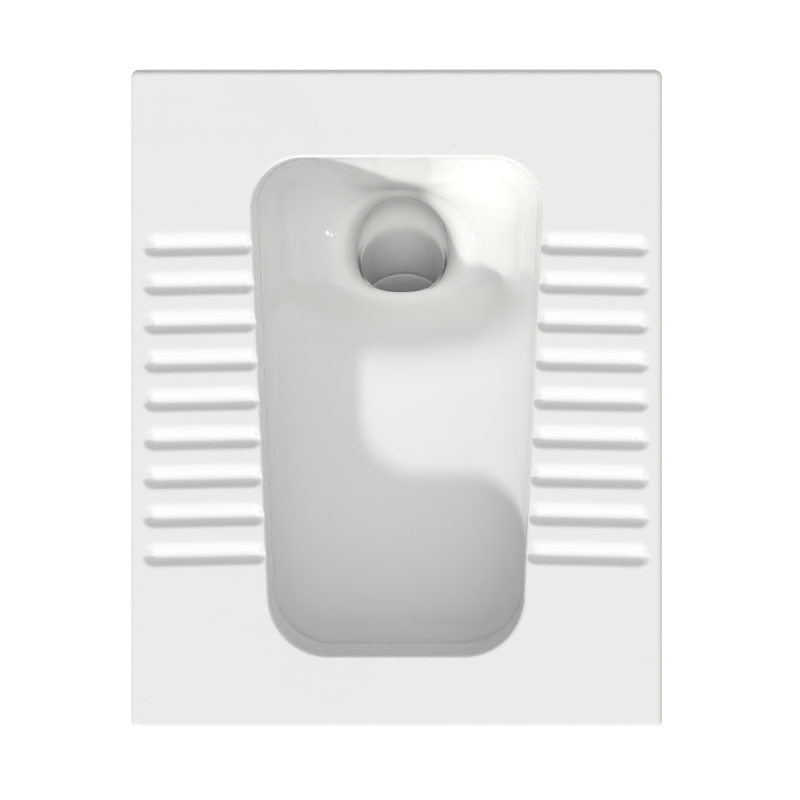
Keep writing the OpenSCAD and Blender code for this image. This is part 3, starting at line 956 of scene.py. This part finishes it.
@dataclass
class TrapBody:
    """The glazed trap's tube: socket round the outlet horn, U with the water seal, weir bend and spigot."""

    horn: Horn = field(default_factory=Horn)
    u_y: float = -35.3
    leg_y: float = -99.3
    bend_y: float = -159.3
    spigot_y: float = -205.3
    u_depth: float = 270.0
    leg_top: float = 260.0
    waste_depth: float = 200.0
    bore_r: float = 42.0
    tube_r: float = 51.0
    socket_r: float = 59.3
    socket_out: float = 68.3
    socket_h: float = 42.0
    socket_t: float = 9.0
    collar_fillet: float = 7.0
    outer_round: float = 3.0
    mouth_round: float = 2.5
    ledge_round: float = 2.0
    bore_round: float = 1.5
    end_margin: float = 0.5
    ledge_margin: float = 1.0
    around: int = 120

    def course(self, steps: int) -> Rings:
        """The centre line from the spigot's end to the socket's ledge, as y + i·depth.

        It is a level run, a quarter arc down, a short leg, the U's arc and a leaning leg to the ledge.

        Args:
            steps: Points of the arc under the U; the other arc has a third as many.

        Returns:
            The line's points and its unit directions.
        """
        bend_r, u_r = self.leg_y - self.bend_y, self.u_y - self.leg_y
        low = self.u_y + 1j * self.u_depth
        centre = profile(
            run(self.spigot_y, self.waste_depth, self.bend_y, self.waste_depth, 6),
            rounding(self.bend_y, self.leg_top, bend_r, -1, 0, steps // 3),
            run(self.leg_y, self.leg_top, self.leg_y, self.u_depth, 2),
            arc(low, u_r, 2 * QUARTER, self.horn.tilt, steps),
            np.linspace(low + u_r * np.exp(1j * self.horn.tilt), self.horn.at(self.horn.ledge), 9),
        )
        way = np.gradient(centre)
        return centre, way / np.abs(way)

    def collar(self) -> Array:
        """The socket's section, from the tube over its mouth in to the bore.

        Returns:
            Radii + i·distances down the horn.
        """
        ledge = self.horn.ledge
        top, foot = ledge - self.socket_h, ledge + self.socket_t
        f, e, m, g, b = (
            self.collar_fillet, self.outer_round, self.mouth_round, self.ledge_round, self.bore_round)
        return profile(
            rounding(self.tube_r + f, foot + f, f, 2, 3, 6),
            rounding(self.socket_out - e, foot - e, e, 1, 0, 4),
            run(self.socket_out, foot - e, self.socket_out, top + e, 5),
            rounding(self.socket_out - e, top + e, e, 0, -1, 5),
            rounding(self.socket_r + m, top + m, m, 3, 2, 5),
            run(self.socket_r, top + m, self.socket_r, ledge - g, 5),
            rounding(self.socket_r - g, ledge - g, g, 0, 1, 4),
            rounding(self.bore_r + b, ledge + b, b, 3, 2, 4),
        )

    def sections(self) -> tuple[Array, Array, Array]:
        """The rings along the tube, over the socket, back down the bore and round the spigot's end.

        Rings of the tube and the bore that would come too near the socket's or the spigot's own are left out.

        Returns:
            Centres and directions as y + i·depth, and radii.
        """
        horn, (centre, way), collar = self.horn, self.course(48), self.collar()
        spigot = self.spigot_y + 1j * self.waste_depth
        end = profile(
            rounding(self.bore_r + self.bore_round, self.bore_round, self.bore_round, 2, 3, 3),
            rounding(self.tube_r - self.outer_round, self.outer_round, self.outer_round, 3, 4, 5),
        )
        past_socket = ((centre - horn.start) / horn.way).real > horn.ledge + 2 * self.socket_t
        off_ledge, off_end = np.abs(centre - horn.at(horn.ledge)), np.abs(centre - spigot)
        outer = past_socket & (off_end > self.outer_round + self.end_margin)
        bore = off_ledge > self.bore_round + self.ledge_margin
        bore &= off_end > self.bore_round + self.end_margin
        centres = [centre[outer], horn.at(collar.imag), centre[bore][::-1], spigot + end.imag]
        ways = [way[outer], np.full(len(collar), -horn.way), way[bore][::-1], np.ones(len(end))]
        radii = [np.full(outer.sum(), self.tube_r), collar.real, np.full(bore.sum(), self.bore_r), end.real]
        return np.concatenate(centres), np.concatenate(ways), np.concatenate(radii)

    def build(self, china: Material) -> None:
        """Makes the tube: each ring is a circle in the plane square to the centre line.

        Args:
            china: The glazed china.
        """
        centres, ways, radii = self.sections()
        ring = column(radii) * np.exp(2j * np.pi * rows(self.around) / self.around)
        across = centres[:, None] + 1j * ways[:, None] * ring.imag
        points = np.stack([ring.real, across.real, FOOT_DEPTH - across.imag], axis=-1)
        wrapped_grid(points, np.zeros(len(points))).settle("trap_body", china, "trap")


@dataclass
class TrapFoot:
    """The trap's cast foot: a rounded plate under a web that rises into the U."""

    middle_y: float = -35.3
    half_w: float = 52.0
    half_l: float = 117.0
    plate_t: float = 9.0
    plate_fall: float = 0.4
    corner_r: float = 16.0
    bottom_insets: tuple[float, float] = (12.0, 2.0)
    bottom_round: float = 1.5
    top_round: float = 3.0
    top_inset: float = 6.0
    top_corner_r: float = 13.0
    web_half: float = 9.0
    web_half_l: float = 97.0
    web_corner_r: float = 6.0
    web_top: float = 326.0
    fillet: float = 12.0
    web_draw: float = 2.2
    least_corner_r: float = 4.0
    climb_rows: int = 18
    web_start: float = 3.0
    web_rows: int = 6
    bare_rows: tuple[float, float] = (1.0, 3.0)

    def outlines(self, half_w: Array, half_l: Array, radius: Array) -> Array:
        """Rounded rectangles about the foot's middle, with 16 points to a corner and 10 or 20 to a side.

        Args:
            half_w: Half widths, one for each outline.
            half_l: Half lengths.
            radius: Corner radii.

        Returns:
            Outlines by points, as complex plan points.
        """
        r = column(radius)
        c = column(half_w) - r + 1j * (column(half_l) - r)
        corners = (c, -c.conj(), -c, c.conj())
        stretches = []
        for k, corner in enumerate(corners):
            out = r * 1j ** (k + 1)
            stretches += [
                arc(corner, r, k * QUARTER, (k + 1) * QUARTER, 16),
                line(corner + out, corners[(k + 1) % 4] + out, 20 if k % 2 else 10),
            ]
        return 1j * self.middle_y + np.hstack(stretches)

    def build(self, china: Material) -> None:
        """Makes the foot as a stack of outlines: underside, rounded edge, sloping top, fillet and web.

        Args:
            china: The glazed china.
        """
        low, e, f = FOOT_DEPTH, self.bottom_round, self.top_round
        inset = profile(
            np.array(self.bottom_insets) + 1j * low,
            rounding(e, low - e, e, 1, 2, 5),
            rounding(f, low - self.plate_t + f, f, 2, 3, 6),
        )
        climb = np.linspace(0, 1, self.climb_rows)
        blend = 1 - (1 - climb) ** self.web_draw
        wide, long = self.half_w - self.top_inset, self.half_l - self.top_inset
        edge_r = np.clip(self.corner_r - np.maximum(0, inset.real - f), self.least_corner_r, self.corner_r)
        half_w = np.append(self.half_w - inset.real, wide * (1 - blend) + self.web_half * blend)
        half_l = np.append(self.half_l - inset.real, long * (1 - blend) + self.web_half_l * blend)
        radius = np.append(edge_r, self.top_corner_r * (1 - blend) + self.web_corner_r * blend)
        depth = np.append(inset.imag, low - self.plate_t - self.plate_fall - self.fillet * climb**3)
        half_w = np.append(half_w, [self.web_half] * self.web_rows)
        half_l = np.append(half_l, [self.web_half_l] * self.web_rows)
        radius = np.append(radius, [self.web_corner_r] * self.web_rows)
        depth = np.append(depth, np.linspace(depth[-1] - self.web_start, self.web_top, self.web_rows))
        plan = self.outlines(half_w, half_l, radius)
        bare = 1 - smooth(*self.bare_rows, rows(len(plan)))
        capped_grid(upright(plan, column(depth)), bare).settle("trap_foot", china, "trap")


# --- finishes -----------------------------------------------------------------------------------


class Sheet:
    """A node tree that is filled in a few words: nodes by type, inputs by name."""

    def __init__(self, tree: bpy.types.NodeTree) -> None:
        """Keeps the tree to fill, emptied."""
        self.tree = tree
        tree.nodes.clear()

    def feed(self, port: Socket, value: Any) -> None:
        """Links a socket to an input, or sets the input to a value.

        Args:
            port: The input.
            value: A socket, or the value to set.
        """
        if isinstance(value, Socket):
            self.tree.links.new(value, port)
        else:
            port.default_value = value

    def add(self, kind: str, settings: dict[str, Any] | None = None, **inputs: Any) -> bpy.types.Node:
        """Adds a node, sets its properties, and sets or links its inputs.

        Args:
            kind: The node's type without the ShaderNode prefix.
            settings: Properties of the node.
            **inputs: Values or sockets by input name, with _ for a space.

        Returns:
            The new node.
        """
        node = self.tree.nodes.new("ShaderNode" + kind)
        for key, value in (settings or {}).items():
            setattr(node, key, value)
        for key, value in inputs.items():
            self.feed(node.inputs[key.replace("_", " ")], value)
        return node

    def math(self, operation: str, *values: Any) -> Socket:
        """The result of a Math node on sockets or numbers.

        Args:
            operation: What the node does.
            *values: What it does it with.

        Returns:
            The result.
        """
        node = self.add("Math", {"operation": operation})
        for port, value in zip(node.inputs, values):
            self.feed(port, value)
        return node.outputs[0]

    def noise(self, where: Socket, scale: Any, detail: float) -> Socket:
        """A noise pattern's value, about 0.5 on average."""
        return self.add("TexNoise", None, Vector=where, Scale=scale, Detail=detail).outputs["Fac"]

    def ramp(self, value: Socket, low: float, high: float, out_low: float, out_high: float) -> Socket:
        """Maps a value's range to another one, held at its ends."""
        ends = {"From_Min": low, "From_Max": high, "To_Min": out_low, "To_Max": out_high}
        return self.add("MapRange", {"clamp": True}, Value=value, **ends).outputs["Result"]

    def mix(self, share: Any, first: Any, second: Any) -> Socket:
        """A mix of two colours, by the numbers of the Mix node's colour sockets, whose names aren't unique.

        Args:
            share: How much of the second colour there is.
            first: A colour or its socket.
            second: Another one.

        Returns:
            The mixed colour.
        """
        node = self.add("Mix", {"data_type": "RGBA"})
        for number, value in ((0, share), (6, first), (7, second)):
            self.feed(node.inputs[number], value)
        return node.outputs[2]


def group(name: str, inputs: dict[str, Any], outputs: dict[str, str]) -> tuple[Sheet, Any, Any]:
    """An empty node group with named sockets.

    Args:
        name: The group's name.
        inputs: Default values by input name; a tuple makes a colour and a number a value.
        outputs: Socket kinds by output name.

    Returns:
        A sheet over the group, its input node's outputs, and its output node's inputs.
    """
    sheet = Sheet(bpy.data.node_groups.new(name, "ShaderNodeTree"))
    face, nodes = sheet.tree.interface, sheet.tree.nodes
    for key, value in inputs.items():
        kind = "NodeSocketColor" if isinstance(value, tuple) else "NodeSocketFloat"
        face.new_socket(key, in_out="INPUT", socket_type=kind).default_value = value
    for key, kind in outputs.items():
        face.new_socket(key, in_out="OUTPUT", socket_type=kind)
    return sheet, nodes.new("NodeGroupInput").outputs, nodes.new("NodeGroupOutput").inputs


def cloudy_group() -> bpy.types.NodeTree:
    """Slow mottling and fine specks over a colour, as on fired glaze, moulded rubber and plastic alike.

    Returns:
        The group, which puts out the colour and the mottling's mask.
    """
    sheet, ports, out = group(
        "cloudy_surface",
        {"Colour": (0.8, 0.8, 0.8, 1), "Cloud Colour": (0.7, 0.7, 0.7, 1), "Cloud Scale": 6.0,
         "Cloud Share": 0.2, "Speck Colour": (0.3, 0.25, 0.2, 1), "Speck Scale": 150.0, "Speck Share": 0.3},
        {"Colour": "NodeSocketColor", "Cloud": "NodeSocketFloat"})
    where = sheet.add("TexCoord").outputs["Object"]
    cloud = sheet.ramp(sheet.noise(where, ports["Cloud Scale"], 3.0), *CLOUD_EDGE, 0.0, 1.0)
    cover = sheet.math("MULTIPLY", cloud, ports["Cloud Share"])
    base = sheet.mix(cover, ports["Colour"], ports["Cloud Colour"])
    cell = sheet.add("TexVoronoi", None, Vector=where, Scale=ports["Speck Scale"]).outputs
    lot = sheet.add("SeparateColor", None, Color=cell["Color"]).outputs[0]
    dot = sheet.ramp(cell["Distance"], *SPECK_EDGE, 1.0, 0.0)
    chosen = sheet.math("MULTIPLY", dot, sheet.ramp(lot, *SPECK_LOT, 0.0, 1.0))
    speck = sheet.math("MULTIPLY", chosen, ports["Speck Share"])
    sheet.feed(out["Colour"], sheet.mix(speck, base, ports["Speck Colour"]))
    sheet.feed(out["Cloud"], cloud)
    return sheet.tree


def relief_group() -> bpy.types.NodeTree:
    """Two scales of relief in one height: a slow waviness and a fine grain.

    Returns:
        The group, which puts out the height.
    """
    sheet, ports, out = group(
        "soft_relief", {"Wave Scale": 14.0, "Wave": 0.6, "Grain Scale": 380.0, "Grain": 0.05},
        {"Height": "NodeSocketFloat"})
    where = sheet.add("TexCoord").outputs["Object"]
    wave = sheet.math("MULTIPLY", sheet.noise(where, ports["Wave Scale"], 1.0), ports["Wave"])
    grain = sheet.math("MULTIPLY", sheet.noise(where, ports["Grain Scale"], 2.0), ports["Grain"])
    sheet.feed(out["Height"], sheet.math("ADD", wave, grain))
    return sheet.tree


@dataclass
class Look:
    """What goes into a finish's shader."""

    colour: Socket
    rough: Socket
    height: Socket


@dataclass(frozen=True)
class Finish:
    """A surface: a cloudy colour with specks over soft relief in millimetres, and how rough it is."""

    name: str
    colour: tuple[float, float, float]
    cloud: tuple[float, float, float]
    speck: tuple[float, float, float]
    roughness: float
    cloud_scale: float
    cloud_share: float
    speck_scale: float
    speck_share: float
    wave: float
    wave_scale: float
    grain: float
    grain_scale: float
    relief: float
    ior: float
    rough_swing: float = 0.02

    def look(self, sheet: Sheet, groups: dict[str, bpy.types.NodeTree]) -> Look:
        """The colour, roughness and height from the shared groups.

        Args:
            sheet: The material's sheet.
            groups: The shared node groups by name.

        Returns:
            The sockets for the shader.
        """
        cloudy = sheet.add(
            "Group", {"node_tree": groups["cloudy"]},
            Colour=(*self.colour, 1), Cloud_Colour=(*self.cloud, 1), Cloud_Scale=self.cloud_scale,
            Cloud_Share=self.cloud_share, Speck_Colour=(*self.speck, 1), Speck_Scale=self.speck_scale,
            Speck_Share=self.speck_share).outputs
        relief = sheet.add(
            "Group", {"node_tree": groups["relief"]},
            Wave_Scale=self.wave_scale, Wave=self.wave, Grain_Scale=self.grain_scale, Grain=self.grain)
        rough = sheet.ramp(cloudy["Cloud"], 0, 1, self.roughness, self.roughness + self.rough_swing)
        return Look(cloudy["Colour"], rough, relief.outputs["Height"])

    def material(self, groups: dict[str, bpy.types.NodeTree]) -> Material:
        """The finished material, with the height as a bump.

        Args:
            groups: The shared node groups by name.

        Returns:
            The material.
        """
        material = bpy.data.materials.new(self.name)
        material.use_nodes = True
        sheet = Sheet(material.node_tree)
        look = self.look(sheet, groups)
        bump = sheet.add("Bump", None, Strength=1.0, Distance=self.relief / 1000, Height=look.height)
        shader = sheet.add(
            "BsdfPrincipled", None, Base_Color=look.colour, Roughness=look.rough, IOR=self.ior,
            Normal=bump.outputs["Normal"])
        sheet.add("OutputMaterial", None, Surface=shader.outputs["BSDF"])
        return material


@dataclass(frozen=True)
class ChinaFinish(Finish):
    """Glaze over a fired body, which shows dull and cream where the casting wasn't glazed.

    The glaze is painted greyer in the outlet's throat, as painted shade: wholly below the first height and
    past the second place along Y, fading out up to the other two.
    """

    body: tuple[float, float, float] = (0.66, 0.62, 0.55)
    body_rough: float = 0.85
    throat_shade_colour: tuple[float, float, float] = (0.45, 0.44, 0.425)
    # painted shade: the grey put into the glaze in the outlet's throat, and how much of it goes in
    throat_shade_share: float = 0.5
    throat_z: tuple[float, float] = (0.19, 0.225)
    throat_y: tuple[float, float] = (0.07, 0.1)
    ragged_scale: float = 60.0
    ragged_swing: float = 0.5
    ragged_edge: tuple[float, float] = (0.42, 0.58)
    bare_from: tuple[float, float] = (0.02, 0.2)
    dark_clay: float = 0.92
    grit_scale: float = 900.0
    grit: float = 0.6

    def look(self, sheet: Sheet, groups: dict[str, bpy.types.NodeTree]) -> Look:
        """The glaze's look, with the bare clay where the piece's own attribute says so, on a ragged edge.

        Args:
            sheet: The material's sheet.
            groups: The shared node groups by name.

        Returns:
            The sockets for the shader.
        """
        look = super().look(sheet, groups)
        mark = sheet.add("Attribute", {"attribute_name": UNGLAZED}).outputs["Fac"]
        where = sheet.add("TexCoord").outputs["Object"]
        swing = sheet.math("SUBTRACT", sheet.noise(where, self.ragged_scale, 3), 0.5)
        swing = sheet.math("MULTIPLY", swing, self.ragged_swing)
        ragged = sheet.ramp(sheet.math("ADD", mark, swing), *self.ragged_edge, 0, 1)
        bare = sheet.math("MULTIPLY", ragged, sheet.ramp(mark, *self.bare_from, 0, 1))
        place = sheet.add("SeparateXYZ", None, Vector=where).outputs
        low, far = sheet.ramp(place[2], *self.throat_z, 1, 0), sheet.ramp(place[1], *self.throat_y, 0, 1)
        # painted shade: the glaze in the outlet's throat is mixed towards grey
        throat = sheet.math("MULTIPLY", sheet.math("MULTIPLY", low, far), self.throat_shade_share)
        glaze = sheet.mix(throat, look.colour, (*self.throat_shade_colour, 1))
        grit = sheet.noise(where, self.grit_scale, 4)
        clay = sheet.mix(grit, (*(c * self.dark_clay for c in self.body), 1), (*self.body, 1))
        rise = sheet.math("MULTIPLY", sheet.math("MULTIPLY", grit, bare), self.grit)
        return Look(
            sheet.mix(bare, glaze, clay), sheet.ramp(bare, 0, 1, self.roughness, self.body_rough),
            sheet.math("ADD", look.height, rise))


CHINA = ChinaFinish(
    Slot.CHINA.value, (0.872, 0.87, 0.86), (0.859, 0.856, 0.844), (0.42, 0.36, 0.28), 0.07,
    cloud_scale=5, cloud_share=0.6, speck_scale=55, speck_share=0.12, wave=0.7, wave_scale=16, grain=0.03,
    grain_scale=320, relief=0.25, ior=1.52)
RUBBER = Finish(
    Slot.RUBBER.value, (0.022, 0.022, 0.023), (0.05, 0.05, 0.05), (0.12, 0.12, 0.12), 0.55,
    cloud_scale=30, cloud_share=0.5, speck_scale=500, speck_share=0.25, wave=0.3, wave_scale=40, grain=0.5,
    grain_scale=1100, relief=0.12, ior=1.5, rough_swing=0.14)
PALE_RUBBER = replace(RUBBER, name="pale_seal_rubber", colour=(0.5, 0.5, 0.49), cloud=(0.44, 0.44, 0.43))
PIPE = Finish(
    Slot.PIPE.value, (0.6, 0.6, 0.59), (0.55, 0.55, 0.54), (0.35, 0.35, 0.34), 0.33,
    cloud_scale=18, cloud_share=0.4, speck_scale=300, speck_share=0.1, wave=0.5, wave_scale=24, grain=0.25,
    grain_scale=700, relief=0.1, ior=1.46, rough_swing=0.08)
CARRIED = {
    "outlet_ring": PALE_RUBBER, "soil_seal": RUBBER, "flush_connector": RUBBER, "soil_connector": PIPE}


# --- the studio ---------------------------------------------------------------------------------


@dataclass(frozen=True)
class Studio:
    """A pale floor, a sky, one soft key light, a small one for the outlet and a camera that looks down.

    Lengths are in metres and angles in degrees.
    """

    fill: float = 0.68
    sky_high: float = 1.15
    sky_east: float = 0.2
    sky_north: float = -0.36
    key: float = 1.7
    key_towards: tuple[float, float] = (0.457, 0.889)
    key_elevation: float = 30.6
    key_size: float = 3.5
    snoot: float = 95.0
    snoot_r: float = 0.052
    snoot_size: float = 0.04
    snoot_blend: float = 0.35
    mouth: tuple[float, float, float] = (0.0, 0.139, 0.2)
    floor_half: float = 6.0
    floor_glow: float = 0.25
    sensor_w: float = 36.0
    camera_over: tuple[float, float] = (0.066, 0.215)
    camera_height: float = 2.591
    frame_middle: tuple[float, float] = (0.0033, -0.0005)
    frame_width: float = 0.7504

    def sky(self) -> None:
        """Makes the sky: fill·(1 − 2·high/3 + high·z + east·x + north·y), never below 0."""
        world = bpy.data.worlds.new("studio_sky")
        world.use_nodes = True
        sheet = Sheet(world.node_tree)
        way = sheet.add("SeparateXYZ", None, Vector=sheet.add("TexCoord").outputs["Generated"]).outputs
        east = sheet.math("MULTIPLY", way[0], self.fill * self.sky_east)
        north = sheet.math("MULTIPLY", way[1], self.fill * self.sky_north)
        high = sheet.math("MULTIPLY", sheet.math("MAXIMUM", way[2], 0.0), self.fill * self.sky_high)
        level = sheet.math("ADD", high, self.fill * (1 - 2 * self.sky_high / 3))
        glow = sheet.math("MAXIMUM", sheet.math("ADD", level, sheet.math("ADD", east, north)), 0.0)
        sky = sheet.add("Background", None, Color=(1.0, 0.998, 0.992, 1), Strength=glow)
        sheet.add("OutputWorld", None, Surface=sky.outputs["Background"])
        bpy.context.scene.world = world

    def lights(self) -> None:
        """Makes the key light, and the snoot that lights the outlet's throat from beside the camera."""
        sun = bpy.data.lights.new("key", "SUN")
        sun.energy = self.key
        sun.angle = math.radians(self.key_size)
        sun.color = (1.0, 0.995, 0.985)
        x, y = self.key_towards
        link("key", sun).rotation_euler = (0, math.radians(90 - self.key_elevation), math.atan2(-y, -x))
        spot = bpy.data.lights.new("snoot", "SPOT")
        spot.energy = self.snoot
        spot.shadow_soft_size = self.snoot_size
        spot.spot_size = 2 * math.atan2(self.snoot_r, self.camera_height - self.mouth[2])
        spot.spot_blend = self.snoot_blend
        lamp = link("snoot", spot)
        lamp.location = (*self.camera_over, self.camera_height)
        lamp.rotation_euler = (Vector(self.mouth) - lamp.location).to_track_quat("-Z", "Y").to_euler()

    def floor(self) -> None:
        """Makes the pale floor, white to the camera so that no shadow shows, and with a low glow besides."""
        data = bpy.data.meshes.new("floor")
        s = self.floor_half
        data.from_pydata([(-s, -s, 0), (s, -s, 0), (s, s, 0), (-s, s, 0)], [], [(0, 1, 2, 3)])
        material = bpy.data.materials.new("pale_floor")
        material.use_nodes = True
        sheet = Sheet(material.node_tree)
        seen = sheet.add("LightPath").outputs["Is Camera Ray"]
        shader = sheet.add(
            "BsdfPrincipled", None, Base_Color=(0.6, 0.6, 0.6, 1), Roughness=0.9,
            Emission_Color=(1, 1, 1, 1), Emission_Strength=sheet.ramp(seen, 0, 1, self.floor_glow, 1.0))
        sheet.add("OutputMaterial", None, Surface=shader.outputs["BSDF"])
        data.materials.append(material)
        link("floor", data)

    def camera(self) -> None:
        """Makes the camera, whose frame at the deck's level is the photograph's."""
        data = bpy.data.cameras.new("camera")
        data.sensor_width = self.sensor_w
        data.lens = self.sensor_w * (self.camera_height - FOOT_DEPTH / 1000) / self.frame_width
        data.shift_x = (self.frame_middle[0] - self.camera_over[0]) / self.frame_width
        data.shift_y = (self.frame_middle[1] - self.camera_over[1]) / self.frame_width
        camera = link("camera", data)
        camera.location = (*self.camera_over, self.camera_height)
        bpy.context.scene.camera = camera
        bpy.context.scene.view_settings.view_transform = "Standard"


def dress(node: bpy.types.Object, finish: Material) -> None:
    """Gives a carried CAD node its finish.

    Args:
        node: The node's object.
        finish: Its material.
    """
    node.data.materials.clear()
    node.data.materials.append(finish)
    LOG.info("%s: carried over, %s", node.name, finish.name)


def main() -> None:
    """Loads the frame, builds and dresses every piece, and lights the studio."""
    logging.basicConfig(level=logging.INFO, format="%(message)s")
    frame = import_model()
    studio = Studio()
    studio.camera()
    studio.sky()
    studio.lights()
    studio.floor()
    groups = {"cloudy": cloudy_group(), "relief": relief_group()}
    china = CHINA.material(groups)
    for part in (PanDeck(), PanBasin(), PanInlet(), TrapBody(), TrapFoot()):
        part.build(china)
    materials = {finish: finish.material(groups) for finish in (RUBBER, PALE_RUBBER, PIPE)}
    for name, finish in CARRIED.items():
        dress(frame["nodes"][name], materials[finish])


if __name__ == "__main__":
    main()
